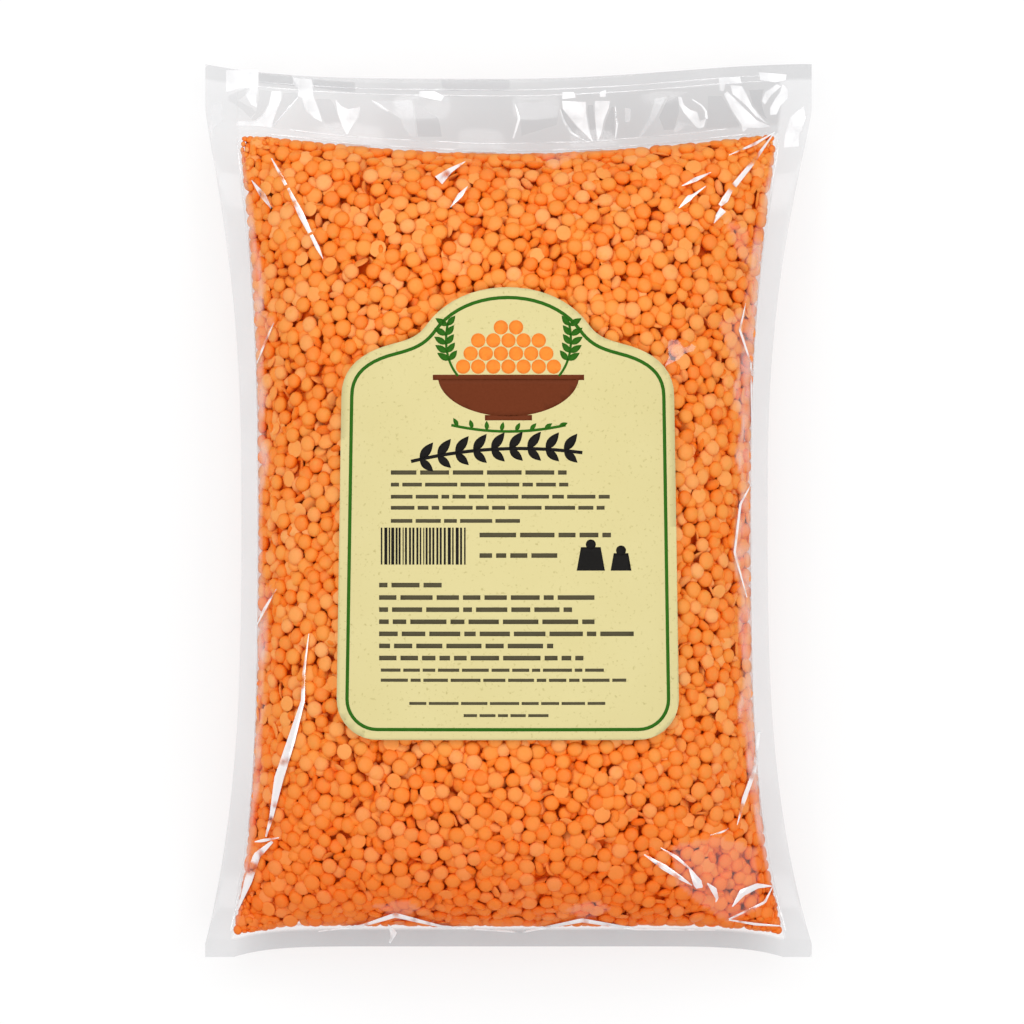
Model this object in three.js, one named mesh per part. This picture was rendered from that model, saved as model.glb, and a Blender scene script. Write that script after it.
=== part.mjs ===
// A clear film pouch of red lentils, lying on its back with its paper label up.
// Millimetres: X across the pouch, Y from the bottom seal to the top seal, Z up from the surface it lies on.
// The empty pouch is a flat rectangle of two films. Film coordinates a and b are places on that rectangle,
// and the functions below say where each place ends up once the pouch is full.
import * as THREE from 'three';

// The empty pouch, laid flat
const POUCH_WIDTH = 182;
const POUCH_LENGTH = 268;
const SIDE_SEAL = 9;
const BOTTOM_SEAL = 6;
const TOP_SEAL = 5;
const HEADER = 20.1; // film above the lentils, with the top seal
const MARGIN_THICKNESS = 0.8; // both films where they meet

// How far filling draws each edge, and the line where the lentils end, inwards at its middle
const LEFT = { edge: 10.8, fill: 6.8 };
const RIGHT = { edge: 13.2, fill: 9.3 };
const TOP = { edge: 4.5, fill: 6.6 };
const BOTTOM = { edge: 3.4, fill: 3.1 };
const FLARE = 2.4; // how far the lentils spread into each bottom corner

// How gently each draw fades out towards the corners, as the exponent of a power of the distance
const SIDE_FADE = { up: 2.6, upAgain: 1.25, down: 3 };
const TOP_EDGE_FADE = { left: { once: 4, again: 1 }, right: { once: 2, again: 2 } };
const BOTTOM_FADE = 8;
const TOP_FADE = { once: 2, again: 1.5 };
const FLARE_FADE = 6;
const UP_END = 0.9; // where the side draw ends, as a share of half the pouch's length
const DOWN_END = 0.97;
const BOTTOM_END = 0.88; // the same for the bottom draw and half the pouch's width

// The full pouch, lying down
const FULL_HEIGHT = 46;
const SIDE_LINE_HEIGHT = 17; // where the two films meet, above the surface
const CORNER_LINE_HEIGHT = 10;
const SIDE_DROOP = 7; // of the side seals' outer edges
const HEADER_DROOP = 5;
const SETTLED = 0.07; // share by which the bottom half is fuller and the top half slacker
const HEADER_WAVE = { height: 1.5, length: 44, shift: 1.2, shiftLength: 23, fade: 3 };
const SEAL_RIPPLE = { height: 0.7, length: 52, shift: 0.9, shiftLength: 17 };
const CORNER_FADE = 3;

// The section of the full pouch: how round the front is and how wide the back lies flat, as exponents
const FRONT = { across: 2.4, acrossAgain: 0.68, along: 4, alongAgain: 0.6 };
const BACK = { across: 3, along: 7, again: 0.75, flat: 1.5 };
const NORMAL_STEP = 0.5; // to either side of a place, to find the film's direction there

// One lentil shows as one bump
const LENTIL_PITCH = 5.5; // from one bump to the next
const BUMP_HEIGHT = 1.3;
const LEAST_BUMP = 0.55; // share of the height that the lowest bump has
const BUMP_SHIFT = 0.4; // greatest shift of a bump along the film
const SMOOTH_BORDER = 3.5; // without bumps, inside the line where the lentils end
const DRAWN_ROWS = 0.45; // how far the rows of bumps crowd towards both ends, from 0 to 1
const HEADER_ROWS = [0.19, 0.38, 0.57, 0.77, 1]; // shares of the header's height
const SEED = 7;

// The paper label, as it shows from above. Its outline is mirrored about its middle line.
const LABEL = {
  middle: -0.2,
  bottom: -68.3,
  halfWidth: 51,
  shoulder: { x: 49.6, y: 34 },
  corner: 12,
  neck: { x: 34, y: 49.7 },
  domeFoot: { x: 24, y: 55.5 },
  top: 66.5,
  thickness: 0.5,
  gap: 0.35, // to the film under it
  curveSteps: [4, 9, 4, 3, 6],
  columns: 12,
  leastHalfWidth: 0.6, // at the top of the dome
  clearBorder: 4.4, // without bumps round the label, a little more than one cell of the pouch's mesh
};

const HALF_WIDTH = POUCH_WIDTH / 2;
const HALF_LENGTH = POUCH_LENGTH / 2;
const FILL = { a: HALF_WIDTH - SIDE_SEAL, low: BOTTOM_SEAL - HALF_LENGTH, high: HALF_LENGTH - HEADER };
const FILL_MIDDLE = (FILL.low + FILL.high) / 2;
const FILL_REACH = (FILL.high - FILL.low) / 2;

const mix = THREE.MathUtils.lerp;

// The share of a side edge's draw at b: none at the ends of the pouch, all of it at the middle
function sideDraw(b) {
  if (b > 0) return (1 - Math.min(1, b / (UP_END * HALF_LENGTH)) ** SIDE_FADE.up) ** SIDE_FADE.upAgain;
  return 1 - Math.min(1, -b / (DOWN_END * HALF_LENGTH)) ** SIDE_FADE.down;
}

// The same for the top edge at a
function topEdgeDraw(a) {
  const { once, again } = a < 0 ? TOP_EDGE_FADE.left : TOP_EDGE_FADE.right;
  return (1 - Math.min(1, Math.abs(a) / HALF_WIDTH) ** once) ** again;
}

// The same for the bottom edge, and for the line where the lentils end above it
function bottomDraw(a) {
  return 1 - Math.min(1, Math.abs(a) / (BOTTOM_END * HALF_WIDTH)) ** BOTTOM_FADE;
}

// The same for the line where the lentils end at the top
function topDraw(a) {
  return (1 - Math.min(1, Math.abs(a) / HALF_WIDTH) ** TOP_FADE.once) ** TOP_FADE.again;
}

// Where film place (a, b) lies in the full pouch, seen from above
function seenFromAbove(a, b) {
  const side = a < 0 ? LEFT : RIGHT;
  const flare = FLARE * Math.max(0, -b / HALF_LENGTH) ** FLARE_FADE;
  const fillX = FILL.a - side.fill * sideDraw(b) + flare;
  const edgeX = HALF_WIDTH - side.edge * sideDraw(b);
  const past = Math.max(0, Math.abs(a) - FILL.a) / SIDE_SEAL;
  const x = Math.sign(a) * (Math.abs(a) < FILL.a ? (Math.abs(a) / FILL.a) * fillX : mix(fillX, edgeX, past));
  const low = FILL.low + BOTTOM.fill * bottomDraw(a);
  const high = FILL.high - TOP.fill * topDraw(a);
  const bottomEdge = BOTTOM.edge * bottomDraw(a) - HALF_LENGTH;
  const topEdge = HALF_LENGTH - TOP.edge * topEdgeDraw(a);
  if (b < FILL.low) return { x, y: mix(low, bottomEdge, (FILL.low - b) / BOTTOM_SEAL) };
  if (b > FILL.high) return { x, y: mix(high, topEdge, (b - FILL.high) / HEADER) };
  return { x, y: mix(low, high, (b - FILL.low) / (FILL.high - FILL.low)) };
}

// The film place that is seen at (x, y), found by closing in on it
function filmPlace(x, y) {
  let a = x;
  let b = y;
  for (let turn = 0; turn < 12; turn++) {
    const seen = seenFromAbove(a, b);
    a += x - seen.x;
    b += y - seen.y;
  }
  return { a, b };
}

// Height of the surface midway between the two films: the line round the lentils, and the seals beyond it
function midHeight(a, b) {
  const across = THREE.MathUtils.clamp(a / FILL.a, -1, 1);
  const along = THREE.MathUtils.clamp((b - FILL_MIDDLE) / FILL_REACH, -1, 1);
  const cornerDrop = (SIDE_LINE_HEIGHT - CORNER_LINE_HEIGHT) * Math.abs(across * along) ** CORNER_FADE;
  const pastSide = Math.max(0, Math.abs(a) - FILL.a) / SIDE_SEAL;
  const pastTop = Math.max(0, b - FILL.high) / HEADER;
  const inHeader = Math.min(1, Math.max(0, b - FILL.high) / (HEADER - TOP_SEAL));
  const free = Math.sin(Math.PI * inHeader) * (1 - Math.abs(across) ** HEADER_WAVE.fade);
  return SIDE_LINE_HEIGHT - cornerDrop
    - SIDE_DROOP * pastSide * sideDraw(b)
    - HEADER_DROOP * pastTop * topEdgeDraw(a)
    + HEADER_WAVE.height * wave(HEADER_WAVE, a) * free
    + SEAL_RIPPLE.height * wave(SEAL_RIPPLE, b) * pastSide;
}

// A wave along the film from -1 to 1, a little irregular
function wave({ length, shift, shiftLength }, place) {
  return Math.sin((2 * Math.PI * place) / length + shift * Math.sin(place / shiftLength));
}

// Share of the full height that the front film has at (a, b), and how far the back film is pressed flat
function swell(a, b) {
  const across = Math.min(1, Math.abs(a) / FILL.a);
  const along = THREE.MathUtils.clamp((b - FILL_MIDDLE) / FILL_REACH, -1, 1);
  const end = Math.abs(along);
  const front = (1 - across ** FRONT.across) ** FRONT.acrossAgain * (1 - end ** FRONT.along) ** FRONT.alongAgain;
  const back = BACK.flat * ((1 - across ** BACK.across) * (1 - end ** BACK.along)) ** BACK.again;
  return { front: front * (1 - SETTLED * along), back: 1 - (1 - Math.min(1, back)) ** 2 };
}

function frontHeight(a, b) {
  const middle = midHeight(a, b) + MARGIN_THICKNESS / 2;
  return middle + (FULL_HEIGHT - middle) * swell(a, b).front;
}

function backHeight(a, b) {
  return (midHeight(a, b) - MARGIN_THICKNESS / 2) * (1 - swell(a, b).back);
}

function frontPoint(a, b, lift = 0) {
  const { x, y } = seenFromAbove(a, b);
  const point = new THREE.Vector3(x, y, frontHeight(a, b));
  if (!lift) return point;
  const right = frontPoint(a + NORMAL_STEP, b).sub(frontPoint(a - NORMAL_STEP, b));
  const up = frontPoint(a, b + NORMAL_STEP).sub(frontPoint(a, b - NORMAL_STEP));
  return point.addScaledVector(right.cross(up).normalize(), lift);
}

function backPoint(a, b) {
  const { x, y } = seenFromAbove(a, b);
  return new THREE.Vector3(x, y, backHeight(a, b));
}

// Half of the label's outline, from the bottom corner up to the top of its dome
function labelEdge() {
  const { bottom, halfWidth, shoulder, corner, neck, domeFoot, top } = LABEL;
  const edge = new THREE.Path();
  edge.moveTo(halfWidth - corner, bottom);
  edge.bezierCurveTo(halfWidth - 0.45 * corner, bottom, halfWidth, bottom + 0.45 * corner, halfWidth, bottom + corner);
  edge.lineTo(shoulder.x, shoulder.y);
  edge.bezierCurveTo(shoulder.x, shoulder.y + 9, neck.x + 9, neck.y - 2.2, neck.x, neck.y);
  edge.bezierCurveTo(neck.x - 5, neck.y + 1.3, domeFoot.x + 2.5, domeFoot.y - 3.5, domeFoot.x, domeFoot.y);
  edge.bezierCurveTo(domeFoot.x - 5, domeFoot.y + 7, 10, top, 0, top);
  return edge;
}

const labelRows = labelEdge().curves.flatMap((curve, n) => (
  curve.getPoints(LABEL.curveSteps[n]).slice(n ? 1 : 0)
));

// Half the label's width at height y of its outline
function labelHalfWidth(y) {
  if (y <= labelRows[0].y || y >= LABEL.top) return 0;
  const above = labelRows.findIndex((row) => row.y > y);
  const [low, high] = [labelRows[above - 1], labelRows[above]];
  return mix(low.x, high.x, (y - low.y) / (high.y - low.y));
}

function underLabel(a, b) {
  const { x, y } = seenFromAbove(a, b);
  const widest = Math.max(...[-1, 0, 1].map((step) => labelHalfWidth(y + step * LABEL.clearBorder)));
  return widest > 0 && Math.abs(x - LABEL.middle) < widest + LABEL.clearBorder;
}

// A repeatable stream of numbers from 0 to 1
function numbersFrom(seed) {
  let state = seed;
  return () => {
    state = (state * 1664525 + 1013904223) % 4294967296;
    return state / 4294967296;
  };
}

// Lines from low to high, an even number of steps, drawn a little towards both ends, where the film is steep.
// Every other crossing of the lines carries a bump.
function lines(low, high) {
  const steps = 2 * Math.round((high - low) / Math.SQRT2 / LENTIL_PITCH);
  return Array.from({ length: steps + 1 }, (_, n) => {
    const even = (2 * n) / steps - 1;
    const place = mix(even, Math.sin((even * Math.PI) / 2), DRAWN_ROWS);
    return mix(low, high, (place + 1) / 2);
  });
}

function solidOf(points, triangles) {
  const geometry = new THREE.BufferGeometry();
  geometry.setAttribute('position', new THREE.Float32BufferAttribute(points.flatMap((p) => p.toArray()), 3));
  geometry.setIndex(triangles.flat());
  geometry.computeVertexNormals();
  return geometry;
}

// The pouch and its lentils as one solid: a bumpy front film, a smoother back film in cells of twice the size,
// and a rim that joins the two round the seals
function pouchGeometry() {
  const across = [
    -HALF_WIDTH, -(HALF_WIDTH + FILL.a) / 2,
    ...lines(-FILL.a, FILL.a),
    (HALF_WIDTH + FILL.a) / 2, HALF_WIDTH,
  ];
  const headerRows = HEADER_ROWS.map((share) => FILL.high + HEADER * share);
  const along = [-HALF_LENGTH, ...lines(FILL.low, FILL.high), ...headerRows];
  const lastColumn = across.length - 1;
  const lastRow = along.length - 1;
  const random = numbersFrom(SEED);
  const points = [];
  const add = (point) => points.push(point) - 1;
  const onRim = (i, j) => i === 0 || j === 0 || i === lastColumn || j === lastRow;

  const front = along.map((b, j) => across.map((a, i) => {
    const shift = () => (random() * 2 - 1) * BUMP_SHIFT;
    const [shiftA, shiftB, size] = [shift(), shift(), mix(LEAST_BUMP, 1, random())];
    const inside = Math.min(FILL.a - Math.abs(a), b - FILL.low, FILL.high - b);
    if (inside < SMOOTH_BORDER || underLabel(a, b)) return add(frontPoint(a, b));
    return add(frontPoint(a + shiftA, b + shiftB, (i + j) % 2 ? 0 : BUMP_HEIGHT * size));
  }));
  const back = along.map((b, j) => across.map((a, i) => {
    if (onRim(i, j) || (i % 2 === 0 && j % 2 === 0)) return add(backPoint(a, b));
    return -1;
  }));

  const triangles = [];
  for (let j = 0; j < lastRow; j++) {
    for (let i = 0; i < lastColumn; i++) {
      const [p, q, r, s] = [front[j][i], front[j][i + 1], front[j + 1][i + 1], front[j + 1][i]];
      if ((i + j) % 2) triangles.push([p, q, r], [p, r, s]);
      else triangles.push([p, q, s], [q, r, s]);
    }
  }
  for (let j = 0; j < lastRow; j += 2) {
    for (let i = 0; i < lastColumn; i += 2) {
      const ring = [
        [i, j], [i + 1, j], [i + 2, j], [i + 2, j + 1],
        [i + 2, j + 2], [i + 1, j + 2], [i, j + 2], [i, j + 1],
      ].map(([ci, cj]) => back[cj][ci]).filter((index) => index >= 0);
      const apex = back[j === 0 ? 2 : j][i === 0 ? 2 : i];
      const start = ring.indexOf(apex);
      const turned = [...ring.slice(start), ...ring.slice(0, start)];
      for (let n = 1; n < turned.length - 1; n++) triangles.push([apex, turned[n + 1], turned[n]]);
    }
  }
  const rim = [];
  for (let i = 0; i < lastColumn; i++) rim.push([i, 0]);
  for (let j = 0; j < lastRow; j++) rim.push([lastColumn, j]);
  for (let i = lastColumn; i > 0; i--) rim.push([i, lastRow]);
  for (let j = lastRow; j > 0; j--) rim.push([0, j]);
  rim.forEach(([i, j], n) => {
    const [ni, nj] = rim[(n + 1) % rim.length];
    triangles.push([back[j][i], back[nj][ni], front[nj][ni]], [back[j][i], front[nj][ni], front[j][i]]);
  });
  return solidOf(points, triangles);
}

// The label: a thin sheet that follows the front film, in rows up its outline
function labelGeometry() {
  const { columns } = LABEL;
  const points = [];
  const sheet = (lift) => labelRows.map(({ x, y }) => Array.from({ length: columns + 1 }, (_, i) => {
    const across = LABEL.middle + Math.max(x, LABEL.leastHalfWidth) * ((2 * i) / columns - 1);
    const { a, b } = filmPlace(across, y);
    return points.push(frontPoint(a, b, lift)) - 1;
  }));
  const under = sheet(LABEL.gap);
  const top = sheet(LABEL.gap + LABEL.thickness);
  const last = labelRows.length - 1;
  const triangles = [];
  const quad = (p, q, r, s) => triangles.push([p, q, r], [p, r, s]);
  for (let j = 0; j < last; j++) {
    for (let i = 0; i < columns; i++) {
      quad(top[j][i], top[j][i + 1], top[j + 1][i + 1], top[j + 1][i]);
      quad(under[j][i], under[j + 1][i], under[j + 1][i + 1], under[j][i + 1]);
    }
    quad(under[j][columns], under[j + 1][columns], top[j + 1][columns], top[j][columns]);
    quad(under[j + 1][0], under[j][0], top[j][0], top[j + 1][0]);
  }
  for (let i = 0; i < columns; i++) {
    quad(under[0][i], under[0][i + 1], top[0][i + 1], top[0][i]);
    quad(under[last][i + 1], under[last][i], top[last][i], top[last][i + 1]);
  }
  return solidOf(points, triangles);
}

const pouch = new THREE.Mesh(
  pouchGeometry(),
  new THREE.MeshStandardMaterial({ color: 0xf0893a, roughness: 0.35, metalness: 0 }),
);
pouch.name = 'pouch';

const label = new THREE.Mesh(
  labelGeometry(),
  new THREE.MeshStandardMaterial({ color: 0xe6dda8, roughness: 0.6, metalness: 0 }),
);
label.name = 'label';

const bag = new THREE.Group();
bag.add(pouch, label);

export default bag;
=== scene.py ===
import math
import random

import bmesh
import bpy
from mathutils import Matrix, Quaternion, Vector, noise


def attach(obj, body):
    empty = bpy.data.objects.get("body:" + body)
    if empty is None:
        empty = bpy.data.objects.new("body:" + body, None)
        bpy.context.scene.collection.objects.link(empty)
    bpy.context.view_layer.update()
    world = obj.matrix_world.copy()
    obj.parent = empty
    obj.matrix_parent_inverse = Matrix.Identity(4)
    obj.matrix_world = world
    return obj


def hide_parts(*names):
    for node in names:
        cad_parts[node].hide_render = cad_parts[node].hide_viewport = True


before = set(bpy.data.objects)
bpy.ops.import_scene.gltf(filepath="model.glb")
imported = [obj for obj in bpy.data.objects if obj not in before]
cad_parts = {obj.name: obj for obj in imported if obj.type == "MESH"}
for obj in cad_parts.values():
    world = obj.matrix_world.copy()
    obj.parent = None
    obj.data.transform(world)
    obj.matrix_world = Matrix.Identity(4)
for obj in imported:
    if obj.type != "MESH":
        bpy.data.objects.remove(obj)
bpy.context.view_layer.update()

# The studio. The pouch lies on a plain white floor, and the camera looks straight down on it from far
# above through a long lens. A square ring of four strip lights hangs round the camera's line of sight.
MM = 0.001
CAMERA_HEIGHT = 4000 * MM
PICTURE_WIDTH = 307.2 * MM
PICTURE_CENTRE = (1.05 * MM, -0.45 * MM)
SENSOR = 36
SEAL_HEIGHT = 12 * MM

camera = bpy.data.objects.new("camera", bpy.data.cameras.new("camera"))
bpy.context.scene.collection.objects.link(camera)
camera.location = (PICTURE_CENTRE[0], PICTURE_CENTRE[1], CAMERA_HEIGHT)
camera.data.sensor_width = SENSOR
camera.data.lens = SENSOR * (CAMERA_HEIGHT - SEAL_HEIGHT) / PICTURE_WIDTH
camera.data.clip_end = 5 * CAMERA_HEIGHT
bpy.context.scene.camera = camera

LAMP_DISTANCE = 1600 * MM
LAMP_LEAN = math.radians(46)
LAMP_WIDTH = 520 * MM
LAMP_LENGTH = 1500 * MM
# Each lamp's compass angle round the picture, and its watts.
LAMPS = {"left": (180, 9), "right": (0, 9), "top": (90, 9.6), "bottom": (270, 5)}

for name, (compass, watts) in LAMPS.items():
    lamp = bpy.data.objects.new("lamp_" + name, bpy.data.lights.new("lamp_" + name, "AREA"))
    bpy.context.scene.collection.objects.link(lamp)
    lamp.data.shape = "RECTANGLE"
    lamp.data.size = LAMP_WIDTH
    lamp.data.size_y = LAMP_LENGTH
    lamp.data.energy = watts
    turn = Matrix.Rotation(math.radians(compass), 4, "Z")
    lean = Matrix.Rotation(LAMP_LEAN, 4, "Y")
    lamp.matrix_world = turn @ lean @ Matrix.Translation((0, 0, LAMP_DISTANCE))

WORLD_LIGHT = 0.46
world = bpy.data.worlds.new("studio")
world.use_nodes = True
world.node_tree.nodes["Background"].inputs["Color"].default_value = (1, 1, 1, 1)
world.node_tree.nodes["Background"].inputs["Strength"].default_value = WORLD_LIGHT
bpy.context.scene.world = world
bpy.context.scene.view_settings.view_transform = "Standard"


class Socket:
    """An output in a material's nodes. Sums on it add Math nodes, and node() adds any other node."""

    def __init__(self, tree, output=None):
        self.tree = tree
        self.output = output

    def node(self, kind, settings=None, values=None, output=0):
        new = self.tree.nodes.new(kind)
        for name, setting in (settings or {}).items():
            setattr(new, name, setting)
        for name, value in (values or {}).items():
            if isinstance(value, Socket):
                self.tree.links.new(value.output, new.inputs[name])
            else:
                new.inputs[name].default_value = value
        return Socket(self.tree, new.outputs[output] if new.outputs else None)

    def sum(self, operation, first, second):
        return self.node("ShaderNodeMath", {"operation": operation}, {0: first, 1: second})

    def __add__(self, other):
        return self.sum("ADD", self, other)

    def __radd__(self, other):
        return self.sum("ADD", other, self)

    def __sub__(self, other):
        return self.sum("SUBTRACT", self, other)

    def __rsub__(self, other):
        return self.sum("SUBTRACT", other, self)

    def __mul__(self, other):
        return self.sum("MULTIPLY", self, other)

    def __rmul__(self, other):
        return self.sum("MULTIPLY", other, self)


def new_finish(name):
    """A material with an empty node tree, and a Socket to build its nodes from."""
    material = bpy.data.materials.new(name)
    material.use_nodes = True
    material.node_tree.nodes.clear()
    return material, Socket(material.node_tree)


def finish_with(nodes, shader):
    nodes.node("ShaderNodeOutputMaterial", None, {"Surface": shader})


def finish_plainly(nodes, values):
    finish_with(nodes, nodes.node("ShaderNodeBsdfPrincipled", None, values))


def speckle(nodes, scale, detail):
    """Noise that is fixed to the piece, with spots of about a metre divided by the scale."""
    place = nodes.node("ShaderNodeTexCoord", output="Object")
    return nodes.node("ShaderNodeTexNoise", None, {"Vector": place, "Scale": scale, "Detail": detail})


def attribute(nodes, name):
    return nodes.node("ShaderNodeAttribute", {"attribute_name": name}, output="Fac")


def mixed_colour(nodes, share, first, second):
    settings = {"data_type": "RGBA"}
    return nodes.node("ShaderNodeMix", settings, {0: share, 6: first, 7: second}, 2)


def paint(red, green, blue):
    """A colour given as a screen shows it, 0 to 255, as the linear colour that a shader takes."""
    steps = [channel / 255 for channel in (red, green, blue)]
    return [s / 12.92 if s <= 0.04045 else ((s + 0.055) / 1.055) ** 2.4 for s in steps] + [1]


# The floor is a sheet of white light table, which glows a little itself, so that shadows stay pale.
FLOOR_SIDE = 6000 * MM
FLOOR_GLOW = 0.71
floor_mesh = bpy.data.meshes.new("floor")
shape = bmesh.new()
bmesh.ops.create_grid(shape, x_segments=1, y_segments=1, size=FLOOR_SIDE / 2)
shape.to_mesh(floor_mesh)
shape.free()
floor = bpy.data.objects.new("floor", floor_mesh)
bpy.context.scene.collection.objects.link(floor)
floor_finish, nodes = new_finish("floor_white")
matt = nodes.node("ShaderNodeBsdfDiffuse", None, {"Color": (0.25, 0.25, 0.25, 1)})
glow = nodes.node("ShaderNodeEmission", None, {"Color": (1, 1, 1, 1), "Strength": FLOOR_GLOW})
finish_with(nodes, nodes.node("ShaderNodeAddShader", None, {0: matt, 1: glow}))
floor_mesh.materials.append(floor_finish)

# The film. Two flat sheets of clear plastic film, welded to each other in a band along every side.
# The lentils push the sheets apart below an empty stretch at the top, which draws the edges inwards,
# and the slack of the film stands in small folds round the filling.
POUCH_WIDTH = 182 * MM
POUCH_LENGTH = 268 * MM
SIDE_SEAL = 9 * MM
BOTTOM_SEAL = 6 * MM
TOP_SEAL = 5 * MM
HEADER = 20.1 * MM
FULL_HEIGHT = 46 * MM
SIDE_LINE_HEIGHT = 17 * MM
CORNER_LINE_HEIGHT = 10 * MM
SIDE_DROOP = 7 * MM
HEADER_DROOP = 5 * MM
SETTLED = 0.07
HEADER_WAVE = {"height": 1.5 * MM, "length": 44 * MM, "shift": 1.2, "shift_length": 23 * MM}
SEAL_RIPPLE = {"height": 0.7 * MM, "length": 52 * MM, "shift": 0.9, "shift_length": 17 * MM}
FILM_APART = 0.3 * MM
EDGE_DRAW = {"left": 10.8 * MM, "right": 13.2 * MM, "top": 4.5 * MM, "bottom": 3.4 * MM}
FILL_DRAW = {"left": 6.8 * MM, "right": 9.3 * MM, "top": 6.6 * MM, "bottom": 3.1 * MM}
FLARE = 2.4 * MM
# How steeply each draw fades towards the corners, as powers, and where it ends, as shares of the half sizes.
SIDE_FADE = {"up": 2.6, "up_again": 1.25, "down": 3}
BOTTOM_FADE = 8
TOP_FADE = {"once": 2, "again": 1.5}
FLARE_FADE = 6
CORNER_FADE = 3
UP_END = 0.9
DOWN_END = 0.97
BOTTOM_END = 0.88
# The powers that shape the front's and the back's rise from the line where the films meet.
FRONT_RISE = {"across": 2.4, "across_again": 0.68, "along": 4, "along_again": 0.6}
BACK_RISE = {"across": 3, "along": 7, "again": 0.75, "flat": 1.5}
HALF_WIDTH = POUCH_WIDTH / 2
HALF_LENGTH = POUCH_LENGTH / 2
FILL_SIDE = HALF_WIDTH - SIDE_SEAL
FILL_LOW = BOTTOM_SEAL - HALF_LENGTH
FILL_HIGH = HALF_LENGTH - HEADER
FILL_MIDDLE = (FILL_LOW + FILL_HIGH) / 2
FILL_REACH = (FILL_HIGH - FILL_LOW) / 2


def between(low, high, share):
    return low + (high - low) * share


def eased(low, high, value):
    """0 up to low, 1 from high on, and a smooth rise between them."""
    share = min(1, max(0, (value - low) / (high - low)))
    return share * share * (3 - 2 * share)


def side_draw(b):
    """How much of the sides' draw shows at film coordinate b."""
    if b > 0:
        return (1 - min(1, b / (UP_END * HALF_LENGTH)) ** SIDE_FADE["up"]) ** SIDE_FADE["up_again"]
    return 1 - min(1, -b / (DOWN_END * HALF_LENGTH)) ** SIDE_FADE["down"]


def top_edge_draw(a):
    """How much of the top edge's draw shows at film coordinate a: it fades later on the left."""
    share = min(1, abs(a) / HALF_WIDTH)
    return 1 - share ** 4 if a < 0 else (1 - share ** 2) ** 2


def bottom_draw(a):
    """How much of the draw at the bottom shows at film coordinate a."""
    return 1 - min(1, abs(a) / (BOTTOM_END * HALF_WIDTH)) ** BOTTOM_FADE


def top_draw(a):
    """How much of the filling's draw at its top shows at film coordinate a."""
    return (1 - min(1, abs(a) / HALF_WIDTH) ** TOP_FADE["once"]) ** TOP_FADE["again"]


def seen_from_above(a, b):
    """Where a place on the empty pouch ends up, seen from above, once the pouch is full."""
    side = "left" if a < 0 else "right"
    flare = FLARE * max(0, -b / HALF_LENGTH) ** FLARE_FADE
    fill_x = FILL_SIDE - FILL_DRAW[side] * side_draw(b) + flare
    edge_x = HALF_WIDTH - EDGE_DRAW[side] * side_draw(b)
    if abs(a) < FILL_SIDE:
        x = abs(a) / FILL_SIDE * fill_x
    else:
        x = between(fill_x, edge_x, (abs(a) - FILL_SIDE) / SIDE_SEAL)
    low = FILL_LOW + FILL_DRAW["bottom"] * bottom_draw(a)
    high = FILL_HIGH - FILL_DRAW["top"] * top_draw(a)
    if b < FILL_LOW:
        bottom_edge = EDGE_DRAW["bottom"] * bottom_draw(a) - HALF_LENGTH
        y = between(low, bottom_edge, (FILL_LOW - b) / BOTTOM_SEAL)
    elif b > FILL_HIGH:
        top_edge = HALF_LENGTH - EDGE_DRAW["top"] * top_edge_draw(a)
        y = between(high, top_edge, (b - FILL_HIGH) / HEADER)
    else:
        y = between(low, high, (b - FILL_LOW) / (FILL_HIGH - FILL_LOW))
    return math.copysign(x, a), y


def film_place(x, y):
    """The place on the empty pouch that is seen from above at x and y, found in a few steps."""
    a, b = x, y
    for step in range(10):
        seen_x, seen_y = seen_from_above(a, b)
        a += x - seen_x
        b += y - seen_y
    return a, b


def past_side(a):
    return max(0, abs(a) - FILL_SIDE) / SIDE_SEAL


def rolling(waves, place):
    """The height of a row of uneven waves at a place along it."""
    shift = waves["shift"] * math.sin(place / waves["shift_length"])
    return waves["height"] * math.sin(math.tau * place / waves["length"] + shift)


def middle_height(a, b):
    """The height of the surface halfway between the two films, where they are welded."""
    across = min(1, max(-1, a / FILL_SIDE))
    along = min(1, max(-1, (b - FILL_MIDDLE) / FILL_REACH))
    height = between(SIDE_LINE_HEIGHT, CORNER_LINE_HEIGHT, abs(across * along) ** CORNER_FADE)
    past_top = max(0, b - FILL_HIGH) / HEADER
    in_header = min(1, max(0, b - FILL_HIGH) / (HEADER - TOP_SEAL))
    height -= SIDE_DROOP * past_side(a) * side_draw(b) + HEADER_DROOP * past_top * top_edge_draw(a)
    height += rolling(HEADER_WAVE, a) * math.sin(math.pi * in_header) * (1 - abs(across) ** 3)
    return height + rolling(SEAL_RIPPLE, b) * past_side(a)


def surface_height(a, b, front):
    """The height of the front or the back film."""
    across = min(1, abs(a) / FILL_SIDE)
    along = min(1, max(-1, (b - FILL_MIDDLE) / FILL_REACH))
    if front:
        from_sides = (1 - across ** FRONT_RISE["across"]) ** FRONT_RISE["across_again"]
        from_ends = (1 - abs(along) ** FRONT_RISE["along"]) ** FRONT_RISE["along_again"]
        lift = from_sides * from_ends * (1 - SETTLED * along)
        return between(middle_height(a, b) + FILM_APART / 2, FULL_HEIGHT, lift)
    rise = (1 - across ** BACK_RISE["across"]) * (1 - abs(along) ** BACK_RISE["along"])
    drop = min(1, BACK_RISE["flat"] * rise ** BACK_RISE["again"])
    return (middle_height(a, b) - FILM_APART / 2) * (1 - drop) ** 2


def surface_heights(a, b):
    """The heights of the back and of the front film."""
    return surface_height(a, b, False), surface_height(a, b, True)


def surface_point(a, b, front):
    x, y = seen_from_above(a, b)
    return Vector((x, y, surface_height(a, b, front)))


NORMAL_STEP = 0.5 * MM


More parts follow.
